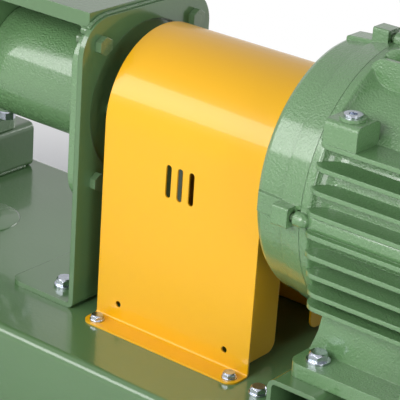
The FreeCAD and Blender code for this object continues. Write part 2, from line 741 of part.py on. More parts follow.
body_radius = joint_radius - fin_depth
fin_radius = body_radius + fin_height
stator_radius = body_radius - frame_wall
spigot = joint_radius - spigot_step
spigot_bore = spigot + 0.6
bolt_ring = joint_radius + 2
back_ring = joint_radius - 8
shield_radius = joint_radius - 9
shield_face = joint_x - 80
shield_angles = (0, 90, 180, 270)
lug_half = 10
lug_back = joint_x - 25
screw_seat = joint_x - 16
drive_bearing = (shield_face + 4, shield_face + 29)
fan_bearing = (frame_end + 3, frame_end + 28)
bearing_bore = 50
drive_shield = turned([
    (shield_face, 27), (shield_face, 56), (shield_face + 4, 60), (shield_face + 12, 96),
    (shield_face + 18, shield_radius - 9), (shield_face + 23, shield_radius - 2),
    (shield_face + 27, shield_radius), (lug_back, shield_radius + 3), (lug_back, shield_radius + 5),
    (joint_x - seat, joint_radius), (joint_x - seat, spigot), (joint_x + 6, spigot), (joint_x + 6, 32),
    (drive_bearing[1], 32), (drive_bearing[1], bearing_bore), (drive_bearing[0], bearing_bore),
    (drive_bearing[0], 27),
])
lug_root = shield_radius - 13
lug = across([
    (lug_root, shaft_z - lug_half, 0), (joint_radius + 11, shaft_z - lug_half, 2),
    (joint_radius + 11, shaft_z + lug_half, 2), (lug_root, shaft_z + lug_half, 0),
], lug_back, joint_x - 7)
lug_band = along([
    (shield_face + 26, shaft_z + lug_root, 0), (shield_face + 26, shaft_z + shield_radius + 4.5, 3),
    (lug_back + 3, shaft_z + shield_radius + 7, 0), (lug_back + 3, shaft_z + lug_root, 0),
], -lug_half, lug_half)
drive_shield = fused([drive_shield] + polar(lug, shield_angles) + polar(turn(lug_band, -90), shield_angles))
drive_shield = drive_shield.cut(polar(drum(lug_back - 1, screw_seat, 6.8, bolt_ring), shield_angles))
drive_shield = drive_shield.cut(polar(drum(lug_back - 2, joint_x, 4.5, bolt_ring), shield_angles))
nose_x = joint_x - 2.5
nose_radius = 7.25
nose_room = drum(nose_x - 1.5, joint_x, nose_radius + 0.75, bolt_ring)
export("drive_end_shield", drive_shield.cut(polar(nose_room, shield_angles)))

# Frame casting: barrel with a collar at each end that falls in a hollow curve to the floor between
# the fins, upright fins all round, and a rounded crest with a screw boss where each shield lug sits.
barrel_wall = turned_smooth([
    (joint_x, joint_radius, 0), (joint_x + collar, joint_radius, 3),
    (joint_x + collar + collar_fall, body_radius, 20), (frame_end - collar - collar_fall, body_radius, 20),
    (frame_end - collar, joint_radius, 3), (frame_end, joint_radius, 0), (frame_end, spigot_bore, 0),
    (frame_end - 7, spigot_bore, 0), (frame_end - 7, stator_radius, 0), (joint_x + 7, stator_radius, 0),
    (joint_x + 7, spigot_bore, 0), (joint_x, spigot_bore, 0),
])
fin_x0 = joint_x + 4
fin_x1 = frame_end - 4


def fin(offset):
    """Upright fin on the crown of the frame; its tip widens a little towards the shoulder."""
    reach = fin_radius + 6 * (offset / 75) ** 4
    tip = shaft_z + math.sqrt(reach ** 2 - offset ** 2)
    root = shaft_z + 80
    return along([(fin_x0, root, 0), (fin_x0, tip, 18), (fin_x1, tip, 18), (fin_x1, root, 0)],
                 offset - fin_sheet / 2, offset + fin_sheet / 2)


fins = []
for i in range(4):
    for offset in (-fin_pitch * (i + 0.5), fin_pitch * (i + 0.5)):
        fins += polar(fin(offset), (90, 180, 270) if i == 3 else shield_angles)
lowest_fin = turn(fin(-low_fin), 90)
fins += [lowest_fin, mirrored(lowest_fin)]

crest_top = shaft_z + fin_radius - 4.5
crest_root = shaft_z + stator_radius + 1
crest_half = fin_pitch / 2
crest = across([(-crest_half, crest_root, 0), (-crest_half, crest_top, 8.5), (crest_half, crest_top, 8.5),
                (crest_half, crest_root, 0)], fin_x0, fin_x1)
crest = crest.common(along([(fin_x0, crest_root, 0), (fin_x0, crest_top, 14), (fin_x1, crest_top, 14),
                            (fin_x1, crest_root, 0)], -crest_half, crest_half))
boss_end = joint_x + 5
boss = fused([drum(nose_x, boss_end, nose_radius, bolt_ring),
              Part.makeSphere(nose_radius, Vector(boss_end, bolt_ring, shaft_z))])

# Two shoulder pads, each an upright block on the fourth fin with a plugged hole for a lifting screw.
pad_x = joint_x + 31
pad_y = 117
pad_half = 18.5
pad_foot = shaft_z + 3.5 * fin_pitch
pad_top = shaft_z + 101
pad_face = pad_top + 3
pad = fused([across([(-pad_y - pad_half, pad_foot, 0), (-pad_y - pad_half, pad_top, 6),
                     (-pad_y + pad_half, pad_top, 6), (-pad_y + pad_half, pad_foot, 0)],
                    pad_x - pad_half, pad_x + pad_half),
             post(pad_x, -pad_y, pad_top - 1, pad_face, 13)])

# Feet: floor plates with a web that rises to the lowest fin and one outside gusset.
mid_x = sum(foot_hole_x) / 2
foot_margin = 22
foot_x0, foot_x1 = foot_hole_x[0] - foot_margin, foot_hole_x[1] + foot_margin
foot_top = rail_top + 15
web_top = shaft_z - low_fin
motor_foot = flat([
    (foot_x0, -147, 13), (foot_x1, -147, 13), (foot_x1, -80, 0), (foot_x0, -80, 0),
], rail_top, foot_top)
motor_web = along([
    (foot_x0, foot_top - 3, 0), (foot_x0 + 9, foot_top + 22, 30), (foot_x0 + 15, web_top, 0),
    (foot_x1 - 15, web_top, 0), (foot_x1 - 9, foot_top + 22, 30), (foot_x1, foot_top - 3, 0),
], -112, -80)
gusset = across([
    (-140, foot_top - 3, 0), (-124, foot_top + 45, 30), (-120, web_top, 0), (-100, web_top, 0),
    (-100, foot_top - 3, 0),
], mid_x - 6, mid_x + 6)

box_base = shaft_z + fin_radius + 14
box_seat = box(box_mid - box_half_x + 2, box_mid + box_half_x - 2, 6 - box_half_y, box_half_y - 6,
               shaft_z + stator_radius - 8, box_base)
eye_seat = post(eye_x, 0, shaft_z + stator_radius + 4, box_base, 18)
near_side = [pad, motor_foot, motor_web, gusset]
motor_frame = fused([barrel_wall] + fins + polar(crest, shield_angles) + polar(boss, shield_angles)
                    + near_side + [mirrored(piece) for piece in near_side] + [box_seat, eye_seat])
motor_frame = motor_frame.cut([drum(joint_x - 1, frame_end + 1, stator_radius),
                               drum(joint_x - 1, joint_x + 7, spigot_bore),
                               drum(frame_end - 7, frame_end + 1, spigot_bore)])
motor_frame = motor_frame.cut([post(x, s * foot_hole_y, rail_top - 1, foot_top + 1, 7.25)
                               for x in foot_hole_x for s in (-1, 1)])
motor_frame = motor_frame.cut(polar(drum(nose_x - 1, joint_x + 7, 4.05, bolt_ring), shield_angles))
motor_frame = motor_frame.cut(polar(drum(frame_end - 22, frame_end + 1, 4.05, back_ring), shield_angles))
motor_frame = motor_frame.cut([post(pad_x, s * pad_y, pad_face - 16, pad_face + 1, 6.05) for s in (-1, 1)])
cable_way = post(box_mid, 0, shaft_z + 110, box_base + 6, 20)
motor_frame = motor_frame.cut([post(eye_x, 0, box_base - 18, box_base + 1, 6.05), cable_way])
export("motor_frame", motor_frame)

plug = fused([post(pad_x, -pad_y, pad_face, pad_face + 2.5, 9),
              post(pad_x, -pad_y, pad_face - 13, pad_face, 6)])
plug = plug.cut(placed(hexagon(8, 0, 5), Vector(pad_x, -pad_y, pad_face - 1), up))
export("frame_plugs", plug, mirrored(plug))

# Fan end shield, which carries the cowl on its rim, and the screws of both shields.
cowl_radius = joint_radius + cowl_step
cowl_seat = cowl_radius - cowl_sheet - seat
fan_shield = turned([
    (frame_end + seat, joint_radius), (frame_end + 4, joint_radius), (frame_end + 4, cowl_seat),
    (frame_end + 13, cowl_seat), (frame_end + 17, shield_radius + 5), (frame_end + 29, 60),
    (frame_end + 33, 56), (frame_end + 33, 27), (fan_bearing[1], 27), (fan_bearing[1], bearing_bore),
    (fan_bearing[0], bearing_bore), (fan_bearing[0], 62), (frame_end + 1, spigot - 10),
    (frame_end - 6, spigot - 8), (frame_end - 6, spigot), (frame_end + seat, spigot),
])
lug_face = frame_end + 11
fan_shield = fused([fan_shield] + polar(drum(frame_end + seat, lug_face, 11, back_ring), shield_angles))
fan_shield = fan_shield.cut(polar(drum(frame_end - 1, frame_end + 15, 4.5, back_ring), shield_angles))
spot_face = drum(lug_face, frame_end + 25, 9, back_ring)
fan_shield = fan_shield.cut(polar(spot_face, shield_angles))
cowl_screw_angles = (45, 135, 225, 315)
cowl_screw_x = frame_end + 9
cowl_screw_hole = post(cowl_screw_x, 0, shaft_z + cowl_seat - 7, shaft_z + cowl_radius + 1, 2.55)
export("fan_end_shield", fan_shield.cut(polar(cowl_screw_hole, cowl_screw_angles)))
shield_bolt = placed(cap_screw(8, joint_x + 6 - screw_seat), Vector(screw_seat, bolt_ring, shaft_z), astern)
fan_shield_bolt = placed(hex_bolt(8, 26, 0), Vector(lug_face, back_ring, shaft_z), ahead)
cowl_screw = placed(dome_screw(5, 8), Vector(cowl_screw_x, 0, shaft_z + cowl_radius), up)
export("shield_bolts", *polar(shield_bolt, shield_angles), *polar(fan_shield_bolt, shield_angles),
       *polar(cowl_screw, cowl_screw_angles))

# Stator, rotor and shaft
core_x0, core_x1 = joint_x + 39, frame_end - 39
rotor_radius = 78
air_gap = 0.5
coil_inner = rotor_radius + 10
coil_outer = stator_radius - 4
export("stator_core", ring(core_x0, core_x1, stator_radius - 0.01, rotor_radius + air_gap))
coils = []
for x0, x1 in ((core_x0 - 24, core_x0), (core_x1, core_x1 + 24)):
    coils.append(turned([
        (x0, coil_inner), (x0, coil_outer - 4), (x0 + 6, coil_outer), (x1 - 6, coil_outer),
        (x1, coil_outer - 4), (x1, coil_inner - 4), (x0 + 4, coil_inner - 4),
    ]))
export("stator_windings", *coils)
rotor_parts = [ring(core_x0, core_x1, rotor_radius, 30.01),
               ring(core_x0 - 12, core_x0, rotor_radius - 4, 48),
               ring(core_x1, core_x1 + 12, rotor_radius - 4, 48)]
export("rotor_core", fused(rotor_parts))

journal = 22.5
fan_seat_x = frame_end + 55
fan_x0, fan_x1 = fan_seat_x + 6, fan_seat_x + 54
motor_shaft = turned([
    (motor_shaft_end, 0), (motor_shaft_end, 19.5), (motor_shaft_end + 1.5, 21), (shield_face - 2, 21),
    (shield_face - 2, journal), (drive_bearing[1], journal), (drive_bearing[1], 27), (joint_x + 13, 30),
    (frame_end - 5, 30), (fan_bearing[0], 27), (fan_bearing[0], journal), (fan_bearing[1], journal),
    (fan_bearing[1], 21), (fan_seat_x, 21), (fan_seat_x, 19), (fan_x1 + 2, 19), (fan_x1 + 2, 0),
])
motor_keyway = box(motor_shaft_end + 10, motor_shaft_end + 100, -6, 6, shaft_z + 16, shaft_z + 23)
export("motor_shaft", motor_shaft.cut(motor_keyway))

motor_outer, motor_inner, motor_balls, motor_cages = [], [], [], []
ball_circle = 36.25
for x0, x1 in (drive_bearing, fan_bearing):
    middle = (x0 + x1) / 2
    motor_outer.append(race(x0, x1, bearing_bore - 0.01, 42, ball_circle, 8.8))
    motor_inner.append(race(x0, x1, 30.5, journal + 0.01, ball_circle, 8.8))
    motor_cages.append(ring(middle - 3, middle + 3, 38.5, 34).cut(ball_set(middle, ball_circle, 8.7, 8)))
    motor_balls += ball_set(middle, ball_circle, 8.5, 8)
export("motor_bearing_outer_rings", *motor_outer)
export("motor_bearing_inner_rings", *motor_inner)
export("motor_bearing_balls", *motor_balls, *motor_cages)

fan_reach = cowl_radius - 22
disc = fan_reach - 14
fan_hub = turned([
    (fan_x0, 19.01), (fan_x0, 34), (fan_x0 + 4, 60), (fan_x0 + 4, disc), (fan_x0 + 8, disc),
    (fan_x0 + 8, 60), (fan_x0 + 14, 32), (fan_x1 - 6, 28), (fan_x1 - 6, 19.01),
])
blade = along([
    (fan_x0 + 5, shaft_z + 30, 0), (fan_x0 + 5, shaft_z + disc, 0), (fan_x0 + 12, shaft_z + fan_reach, 6),
    (fan_x1 - 4, shaft_z + fan_reach, 8), (fan_x1 - 14, shaft_z + 30, 0),
], -1.6, 1.6)
export("cooling_fan", fused([fan_hub] + polar(blade, [45 * i for i in range(8)])))

# Fan cowl: a pressed cup with three rings of air slots in its end.
cowl_x0 = frame_end + 5
cowl_end = cowl_x0 + cowl_length
inside = cowl_radius - cowl_sheet
cowl = turned([
    (cowl_x0, cowl_seat + seat), (cowl_x0, cowl_radius), (cowl_end - 16, cowl_radius),
    (cowl_end - 5, cowl_radius - 5), (cowl_end, cowl_radius - 16), (cowl_end, 0), (cowl_end - cowl_sheet, 0),
    (cowl_end - cowl_sheet, cowl_radius - 17), (cowl_end - 7, cowl_radius - 7), (cowl_end - 17, inside),
])
air_slots = []
for inner_r, outer_r, count in ((24, 54, 12), (62, 92, 20), (cowl_radius - 48, cowl_radius - 24, 28)):
    slot = box(cowl_end - 4, cowl_end + 1, inner_r, outer_r, shaft_z - 3, shaft_z + 3)
    air_slots += polar(slot, [360 * i / count for i in range(count)])
export("fan_cowl", cowl.cut(air_slots).cut(polar(cowl_screw_hole, cowl_screw_angles)))

# Terminal box with lid, cable glands and the block of studs inside.
box_wall = 5
box_height = 62
lid_sheet = 10
box_corners = ((-1, -1), (1, -1), (1, 1), (-1, 1))


def box_plan(inset, corner):
    """Plan of the terminal box, drawn in by an inset."""
    return [(box_mid + i * (box_half_x - inset), j * (box_half_y - inset), corner) for i, j in box_corners]


gland_x = (box_mid - 24, box_mid + 24)
gland_z = box_base + 30
lid_z = box_base + box_height
terminal_box = flat(box_plan(0, 10), box_base, lid_z)
terminal_box = terminal_box.cut(flat(box_plan(box_wall, 6), box_base + box_wall, lid_z + 1))
terminal_box = terminal_box.cut([bar(x, gland_z, box_half_y - 16, box_half_y + 4, 13) for x in gland_x])
export("terminal_box", terminal_box.cut(cable_way))
lid = flat(box_plan(0, 10), lid_z, lid_z + lid_sheet)
lid_screw_at = [(x, y) for x, y, corner in box_plan(9, 0)]
lid = lid.cut([post(x, y, lid_z - 2, lid_z + lid_sheet + 1, 3.3) for x, y in lid_screw_at])
export("terminal_box_lid", lid)
lid_screw = cap_screw(6, lid_sheet - 0.5)
export("terminal_box_screws", *[placed(lid_screw, Vector(x, y, lid_z + lid_sheet), up)
                                for x, y in lid_screw_at])
entries = []
for x in gland_x:
    gland_body = [bar(x, gland_z, box_half_y - 6, box_half_y, 12.9),
                  bar(x, gland_z, box_half_y + 10, box_half_y + 24, 13),
                  placed(hexagon(32, 0, 10), Vector(x, box_half_y, gland_z), Vector(0, 1, 0))]
    entries.append(fused(gland_body).cut(bar(x, gland_z, box_half_y - 16, box_half_y + 34, 7)))
export("cable_glands", *entries)
block_z = box_base + box_wall
stud_block = box(box_mid - 38, box_mid + 38, -22, 22, block_z, block_z + 17)
studs = [post(box_mid + x, y, block_z + 17, block_z + 31, 3) for x in (-26, 0, 26) for y in (-12, 12)]
export("terminal_block", fused([stud_block] + studs))

eye_ring = Part.makeTorus(17, 5, Vector(eye_x, 0, box_base + 28), Vector(1, 0, 0))
eye_shank = post(eye_x, 0, box_base - 16, box_base, 6)
export("lifting_eye", fused([eye_ring, post(eye_x, 0, box_base, box_base + 9, 13), eye_shank]))

# Fixings on the deck, tubes and housing flange.

foot_seats = [(x, y, foot_top) for x in foot_hole_x for y in (-foot_hole_y, foot_hole_y)]
foot_seats += [(x, y, casing_foot_z + 15) for x in casing_bolt_x for y in (-casing_hole_y, casing_hole_y)]
foot_seats += [(pedestal_bolt[0], s * pedestal_bolt[1], base_height + foot_sheet) for s in (-1, 1)]
foot_bolts, foot_washers, foot_nuts = [], [], []
for x, y, z in foot_seats:
    on_tube = z > rail_top
    under = rail_top - rail_wall if on_tube else base_height - base_sheet
    foot_bolts.append(placed(hex_bolt(12, z - under + 14, 2.5), Vector(x, y, z), up))
    foot_washers.append(placed(washer_ring(12, 2.5), Vector(x, y, z), up))
    foot_nuts.append(placed(nut(12), Vector(x, y, under), down))
export("foot_bolts", *foot_bolts)
export("foot_washers", *foot_washers)
export("foot_nuts", *foot_nuts)

guard_fixings = []
for x in guard_bolt_x:
    for y in (-guard_bolt_y, guard_bolt_y):
        spot = Vector(x, y, base_height + guard_sheet)
        guard_fixings.append(placed(hex_bolt(8, 16, 1.6), spot, up))
        guard_fixings.append(placed(washer_ring(8, 1.6), spot, up))
export("guard_fixings", *guard_fixings)
earth = Vector(*earth_bolt, base_height)
export("earth_bolt", placed(hex_bolt(10, 18, 2), earth, up), placed(washer_ring(10, 2), earth, up))

flange_fixings = []
for y in (-flange_bolt, flange_bolt):
    for z in (-flange_bolt, flange_bolt):
        flange_fixings.append(placed(hex_bolt(12, 30, 0), Vector(wall_front, y, shaft_z + z), ahead))
        flange_fixings.append(placed(nut(12), Vector(flange_back, y, shaft_z + z), astern))
export("housing_flange_bolts", *flange_fixings)
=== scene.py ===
import bpy
import math
from mathutils import Matrix, Vector


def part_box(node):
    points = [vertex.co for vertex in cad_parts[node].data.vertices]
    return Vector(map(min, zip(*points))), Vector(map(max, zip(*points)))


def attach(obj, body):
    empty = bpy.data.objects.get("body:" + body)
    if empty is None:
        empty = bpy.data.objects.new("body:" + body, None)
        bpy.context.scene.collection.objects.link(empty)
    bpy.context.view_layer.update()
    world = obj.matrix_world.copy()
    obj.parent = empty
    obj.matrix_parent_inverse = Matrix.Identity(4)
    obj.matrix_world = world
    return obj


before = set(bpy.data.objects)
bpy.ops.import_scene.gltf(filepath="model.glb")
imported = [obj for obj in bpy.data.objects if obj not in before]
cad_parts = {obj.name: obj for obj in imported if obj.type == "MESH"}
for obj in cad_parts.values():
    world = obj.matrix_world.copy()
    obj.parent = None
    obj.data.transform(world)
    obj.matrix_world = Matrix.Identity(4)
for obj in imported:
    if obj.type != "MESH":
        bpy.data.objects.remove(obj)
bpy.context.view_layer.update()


# Baseplate and its cross members
# One folded steel sheet with two closed ends and three ribs welded in, sprayed after welding with
# a thick glossy enamel that rounds every cut edge and dries with a fine orange peel.

class Amount:
    """Value that changes over a surface; arithmetic on it adds Math nodes."""

    def __init__(self, owner, socket):
        self.owner = owner
        self.socket = socket

    def maths(self, operation, first, second):
        return self.owner.add("ShaderNodeMath", {0: first, 1: second}, operation=operation)

    def __add__(self, other):
        return self.maths("ADD", self, other)

    def __sub__(self, other):
        return self.maths("SUBTRACT", self, other)

    def __rsub__(self, other):
        return self.maths("SUBTRACT", other, self)

    def __mul__(self, other):
        return self.maths("MULTIPLY", self, other)

    def __lt__(self, other):
        return self.maths("LESS_THAN", self, other)

    def __gt__(self, other):
        return self.maths("GREATER_THAN", self, other)

    __radd__ = __add__
    __rmul__ = __mul__


class Nodes:
    """A node tree, and the one way in which nodes are added to it."""

    def __init__(self, tree):
        self.tree = tree

    def pick(self, sockets, key):
        """Socket by its name, or by its number among those in use."""
        return [socket for socket in sockets if socket.enabled][key] if isinstance(key, int) else sockets[key]

    def add(self, kind, sockets, output=0, **settings):
        """New node: its settings first, then the values or links of its sockets."""
        node = self.tree.nodes.new(kind)
        for name, value in settings.items():
            setattr(node, name, value)
        for key, value in sockets.items():
            self.feed(self.pick(node.inputs, key), value)
        return Amount(self, self.pick(node.outputs, output))

    def feed(self, socket, value):
        if isinstance(value, Amount):
            self.tree.links.new(value.socket, socket)
        elif socket.type == "RGBA":
            socket.default_value = (*value, 1)
        else:
            socket.default_value = value


class Finish(Nodes):
    """One material: a Principled shader and the nodes that vary it."""

    def __init__(self, name, **constants):
        self.material = bpy.data.materials.new(name)
        self.material.use_nodes = True
        super().__init__(self.material.node_tree)
        self.shader = self.tree.nodes["Principled BSDF"]
        for word, value in constants.items():
            self.give(word.replace("_", " ").title().replace("Ior", "IOR"), value)

    def give(self, name, value):
        self.feed(self.shader.inputs[name], value)

    def overlay(self, mask, name, value):
        """Blends another value over what feeds a shader input so far."""
        target = self.shader.inputs[name]
        before = Amount(self, target.links[0].from_socket) if target.is_linked else target.default_value
        if name == "Base Color":
            self.give(name, self.blend(mask, before, value))
        else:
            self.give(name, before * (1 - mask) + value * mask)

    def place(self, scale=(1, 1, 1), offset=(0, 0, 0)):
        """Object coordinates, stretched and then moved."""
        start = self.add("ShaderNodeTexCoord", {}, "Object")
        return self.add("ShaderNodeMapping", {"Vector": start, "Location": offset, "Scale": scale})

    def axis(self, number):
        return self.add("ShaderNodeSeparateXYZ", {0: self.place()}, number)

    def distance(self, scale, offset=(0, 0, 0)):
        """Distance from a line that runs along the axis whose scale is 0, or from a point."""
        return self.add("ShaderNodeVectorMath", {0: self.place(scale, offset)}, operation="LENGTH")

    def waves(self, along, pitch):
        """Sine of a length, with one wave in each pitch."""
        return self.add("ShaderNodeMath", {0: along * (math.tau / pitch)}, operation="SINE")

    def noise(self, per_metre, detail=2.0, stretch=(1, 1, 1)):
        return self.add("ShaderNodeTexNoise", {
            "Vector": self.place(stretch), "Scale": per_metre, "Detail": detail})

    def blend(self, factor, first, second):
        return self.add("ShaderNodeMix", {0: factor, 1: first, 2: second}, data_type="RGBA")

    def relief(self, height, edge):
        """Height in metres over edges rounded to a radius."""
        rounded = self.add("ShaderNodeBevel", {"Radius": edge}, samples=6)
        return self.add("ShaderNodeBump", {
            "Strength": 1.0, "Distance": 1.0, "Height": height, "Normal": rounded})


def tone(red, green, blue):
    """Linear colour from the values that a picture would show."""
    channels = [value / 255 for value in (red, green, blue)]
    return tuple(c / 12.92 if c < 0.04045 else ((c + 0.055) / 1.055) ** 2.4 for c in channels)


def enamel(name, colour, shade, rough, edge, peel, coat, gloss=0.5, sand=0.0):
    """Gloss paint: cloudy colour, soft edges, orange peel and dull patches; sand is the depth of
    the grain that a mould leaves under it, which also takes the sharpness off its shine."""
    paint = Finish(name, coat_roughness=0.06 + sand * 45, coat_ior=1.5, specular_ior_level=gloss)
    clouds = paint.noise(9, 3)
    specks = paint.noise(700)
    paint.give("Base Color", paint.blend(clouds * 0.6 + specks * 0.3, colour, shade))
    dull_patches = paint.noise(35, 3)
    paint.give("Roughness", rough + dull_patches * 0.06)
    thin_patches = paint.noise(14)
    paint.give("Coat Weight", coat * (0.9 + thin_patches * 0.2))
    paint.skin = (paint.noise(400) * 0.4 + paint.noise(170)) * peel
    if sand:
        paint.skin = paint.skin + paint.noise(450) * sand
    paint.give("Normal", paint.relief(paint.skin, edge))
    return paint


def dress(finish, *nodes):
    for node in nodes:
        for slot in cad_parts[node].material_slots:
            slot.material = finish.material


machine_green = enamel("machine_green", tone(88, 122, 80), tone(80, 113, 73),
                       rough=0.2, edge=0.0016, peel=0.0002, coat=0.6)
dress(machine_green, "baseplate", "base_cross_members")

# Weld beads on the base
# Arc welds laid by hand: short stitches hold each raising tube to the deck, and a run closes the
# joint of each end plate. Every bead is a row of ripples under the paint.


class Recipe(Nodes):
    """Geometry Nodes tree with named inputs, which repeats a small shape."""

    def __init__(self, name, **sizes):
        super().__init__(bpy.data.node_groups.new(name, "GeometryNodeTree"))
        panel = self.tree.interface
        panel.new_socket("Geometry", in_out="INPUT", socket_type="NodeSocketGeometry")
        panel.new_socket("Geometry", in_out="OUTPUT", socket_type="NodeSocketGeometry")
        kinds = {int: "NodeSocketInt", float: "NodeSocketFloat", tuple: "NodeSocketVector"}
        for word, value in sizes.items():
            socket = panel.new_socket(word, in_out="INPUT", socket_type=kinds[type(value)])
            socket.default_value = value
        panel.new_socket("material", in_out="INPUT", socket_type="NodeSocketMaterial")
        self.entry = self.tree.nodes.new("NodeGroupInput")

    def size(self, name):
        return Amount(self, self.entry.outputs[name])

    def end(self, geometry):
        smooth = self.add("GeometryNodeSetShadeSmooth", {0: geometry})
        single = self.add("GeometryNodeRealizeInstances", {0: smooth})
        painted = self.add("GeometryNodeSetMaterial", {"Geometry": single, "Material": self.size("material")})
        self.feed(self.tree.nodes.new("NodeGroupOutput").inputs[0], painted)

    def make(self, name, body, slot, finish, points, edges=(), **sizes):
        """Plain mesh of what the tree builds on some points, riding on a body."""
        start = bpy.data.meshes.new(name + "_start")
        start.from_pydata(points, edges, [])
        carrier = bpy.data.objects.new(name + "_start", start)
        bpy.context.scene.collection.objects.link(carrier)
        modifier = carrier.modifiers.new(name, "NODES")
        modifier.node_group = self.tree
        keys = {item.name: item.identifier
                for item in self.tree.interface.items_tree if item.in_out == "INPUT"}
        for word, value in sizes.items():
            modifier[keys[word]] = value
        modifier[keys["material"]] = finish.material
        built = carrier.evaluated_get(bpy.context.evaluated_depsgraph_get())
        mesh = bpy.data.meshes.new_from_object(built)
        carrier.modifiers.clear()
        bpy.data.objects.remove(carrier)
        piece = bpy.data.objects.new(name, mesh)
        bpy.context.scene.collection.objects.link(piece)
        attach(piece, body)


weld_bead = Recipe("weld_bead", radius=0.003, spacing=0.0018, seed=3)
run = weld_bead.add("GeometryNodeMeshToCurve", {0: weld_bead.size("Geometry")})
steps = weld_bead.add("GeometryNodeResampleCurve", {"Curve": run, "Length": weld_bead.size("spacing")},
                      mode="LENGTH")
drop = weld_bead.add("GeometryNodeMeshUVSphere", {
    "Segments": 8, "Rings": 5, "Radius": weld_bead.size("radius")})
ripple = weld_bead.add("GeometryNodeTransform", {"Geometry": drop, "Scale": (0.55, 1.0, 1.0)})
forward = weld_bead.add("GeometryNodeInputTangent", {})
heading_on = weld_bead.add("FunctionNodeAlignRotationToVector", {"Vector": forward}, axis="X")
swell = weld_bead.add("FunctionNodeRandomValue", {0: 0.85, 1: 1.12, 3: weld_bead.size("seed")},
                      data_type="FLOAT")
weld_bead.end(weld_bead.add("GeometryNodeInstanceOnPoints", {
    "Points": steps, "Instance": ripple, "Rotation": heading_on, "Scale": swell}))

deck_z = 0.1
tube_places = ((-0.46, 0.08), (0.233, 0.06), (0.443, 0.06))
stitch_middles = (-0.13, 0.0, 0.13)
stitch_half = 0.022
stitch_inset = 0.0035
stitch_z = deck_z + 0.0022
stitch_points = [(tube_x + side * (tube_width / 2 - stitch_inset), middle + end * stitch_half, stitch_z)
                 for tube_x, tube_width in tube_places for side in (-1, 1)
                 for middle in stitch_middles for end in (-1, 1)]
stitch_edges = [(i, i + 1) for i in range(0, len(stitch_points), 2)]
weld_bead.make("tube_welds", "machine", "machine_green", machine_green, stitch_points, stitch_edges,
               radius=0.0034, spacing=0.0019)

end_plane = 0.5285
end_outline = ((-0.1828, 0.016), (-0.1828, 0.088), (-0.1788, 0.0928),
               (0.1788, 0.0928), (0.1828, 0.088), (0.1828, 0.016))
end_points = [(x, y, z) for x in (-end_plane, end_plane) for y, z in end_outline]
end_edges = [(first + i, first + i + 1)
             for first in (0, len(end_outline)) for i in range(len(end_outline) - 1)]
weld_bead.make("end_plate_welds", "machine", "machine_green", machine_green, end_points, end_edges,
               radius=0.0022, spacing=0.0016)

# Grout hole covers
# Thin pressed steel discs that lie over the two grout holes of the deck, painted with the base.

cover_places = (-0.35, 0.34)
cover_profile = ((0.0, 0.0026), (0.020, 0.0025), (0.030, 0.0020), (0.034, 0.0013), (0.0465, 0.0013),
                 (0.0480, 0.0009), (0.0484, 0.0001), (0.0484, -0.0003), (0.0, -0.0003))
cover_steps = 64
cover_rows = len(cover_profile) - 2
cover_points, cover_faces = [], []
for cover_x in cover_places:
    first = len(cover_points)
    for step in range(cover_steps):
        angle = math.tau * step / cover_steps
        cover_points += [(cover_x + radius * math.cos(angle), radius * math.sin(angle), deck_z + height)
                         for radius, height in cover_profile[1:-1]]
    centre = len(cover_points)
    cover_points += [(cover_x, 0, deck_z + cover_profile[end][1]) for end in (0, -1)]
    for step in range(cover_steps):
        here = first + step * cover_rows
        there = first + (step + 1) % cover_steps * cover_rows
        cover_faces.append((centre, here, there))
        cover_faces.append((centre + 1, there + cover_rows - 1, here + cover_rows - 1))
        cover_faces += [(here + row, here + row + 1, there + row + 1, there + row)
                        for row in range(cover_rows - 1)]
cover_mesh = bpy.data.meshes.new("grout_hole_covers")
cover_mesh.from_pydata(cover_points, [], cover_faces)
cover_mesh.materials.append(machine_green.material)
cover_mesh.shade_smooth()
grout_hole_covers = bpy.data.objects.new("grout_hole_covers", cover_mesh)
bpy.context.scene.collection.objects.link(grout_hole_covers)
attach(grout_hole_covers, "machine")

# Raising tubes and bearing pedestal
# Square steel tubes under the feet, the folded front wall with its foot, and the thick top plate
# with its saddle, all in the paint of the base.

dress(machine_green, "raising_tubes", "pedestal_front", "pedestal_frame")

# Welds of the top plate
# A fillet weld follows the rounded top edge of the wall along the plate, and a short thick one
# closes each corner between plate, wall and housing flange.

corner_y, corner_z = 0.064, 0.385
seam_x = -0.1083
seam_radius = 0.0405
seam_angles = [math.radians(angle) for angle in (41, 33, 25, 17, 8, 0)]
seam = [(seam_x, -corner_y - seam_radius * math.sin(angle), corner_z + seam_radius * math.cos(angle))
        for angle in seam_angles]
seam += [(x, -y, z) for x, y, z in reversed(seam)]
seam_edges = [(i, i + 1) for i in range(len(seam) - 1)]
weld_bead.make("plate_seam", "machine", "machine_green", machine_green, seam, seam_edges,
               radius=0.0026, spacing=0.0008)

fill_ends = (-0.1176, -0.1098)
fill_y, fill_z = 0.0872, 0.4108
fills = [(x, side * fill_y, fill_z) for side in (-1, 1) for x in fill_ends]
weld_bead.make("plate_corner_fills", "machine", "machine_green", machine_green, fills, [(0, 1), (2, 3)],
               radius=0.0048, spacing=0.0011)

# Bearing housing and its cover
# Iron castings from a sand mould, whose grain shows through the paint and breaks up its shine;
# the cover is machined all over and has the smooth paint of the base.

cast_tones = (tone(104, 141, 96), tone(92, 127, 84))
cast_skin = {"rough": 0.24, "edge": 0.002, "peel": 0.0003, "coat": 0.9, "sand": 0.0010}
casting_green = enamel("casting_green", *cast_tones, **cast_skin)
dress(casting_green, "bearing_housing", "casing_cover")
dress(machine_green, "bearing_cover", "bearing_cover_screws")

# Bolts of the housing flange
# Steel bolts and nuts painted over with the wall; the last turns of thread stand out of the nuts.

fixing_green = enamel("fixing_green", tone(96, 124, 88), tone(84, 111, 77),
                      rough=0.24, edge=0.0007, peel=0.00008, coat=0.6)
dress(fixing_green, "housing_flange_bolts")

